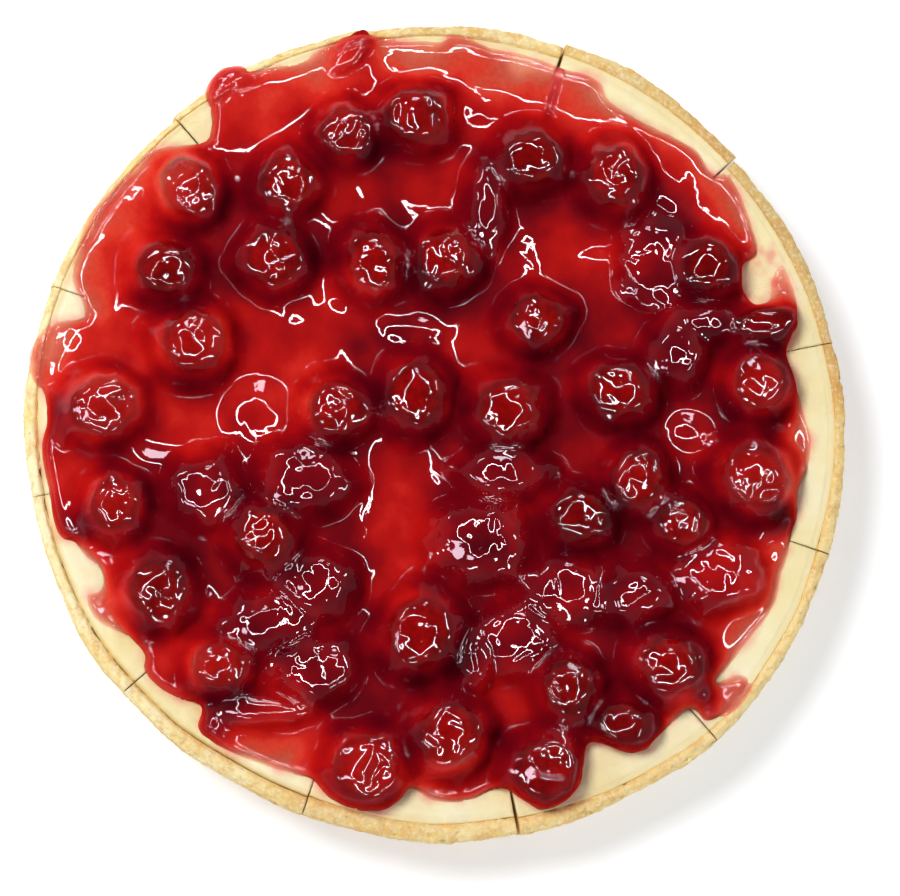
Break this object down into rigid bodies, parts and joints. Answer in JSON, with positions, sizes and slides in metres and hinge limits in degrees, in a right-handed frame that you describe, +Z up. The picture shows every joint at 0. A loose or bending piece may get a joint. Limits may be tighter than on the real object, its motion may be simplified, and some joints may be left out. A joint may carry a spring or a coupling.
{
  "type": "cherry-topped baked cheesecake",
  "caption": "Round baked cheesecake in a shortcrust shell, cut into twelve slices, under red cherry sauce with whole cherries standing out of it.",
  "frame": {"origin": "middle of the whole extent from above, on the surface that the cake stands on", "axes": "+Z up, +Y towards the top of the picture, +X towards its right"},
  "size_m": [0.2311, 0.2297, 0.0523],
  "materials": {
    "crust": "matt, sandy baked shortcrust",
    "cream": "satin, smooth baked cream cheese",
    "sauce": "clear, wet and glossy red",
    "cherry": "wet, glossy dark red"
  },
  "bodies": {
    "root": {"cherry_01": "cherry", "cherry_02": "cherry", "cherry_03": "cherry", "cherry_04": "cherry", "cherry_05": "cherry", "cherry_06": "cherry", "cherry_07": "cherry", "cherry_08": "cherry", "cherry_09": "cherry", "cherry_10": "cherry", "cherry_11": "cherry", "cherry_12": "cherry", "cherry_13": "cherry", "cherry_14": "cherry", "cherry_15": "cherry", "cherry_16": "cherry", "cherry_17": "cherry", "cherry_18": "cherry", "cherry_19": "cherry", "cherry_20": "cherry", "cherry_21": "cherry", "cherry_22": "cherry", "cherry_23": "cherry", "cherry_24": "cherry", "cherry_25": "cherry", "cherry_26": "cherry", "cherry_27": "cherry", "cherry_28": "cherry", "cherry_29": "cherry", "cherry_30": "cherry", "cherry_31": "cherry", "cherry_32": "cherry", "cherry_33": "cherry", "cherry_34": "cherry", "cherry_35": "cherry", "crust_01": "crust", "crust_02": "crust", "crust_03": "crust", "crust_04": "crust", "crust_05": "crust", "crust_06": "crust", "crust_07": "crust", "crust_08": "crust", "crust_09": "crust", "crust_10": "crust", "crust_11": "crust", "crust_12": "crust", "filling_01": "cream", "filling_02": "cream", "filling_03": "cream", "filling_04": "cream", "filling_05": "cream", "filling_06": "cream", "filling_07": "cream", "filling_08": "cream", "filling_09": "cream", "filling_10": "cream", "filling_11": "cream", "filling_12": "cream", "sauce": "sauce"}
  },
  "joints": []
}
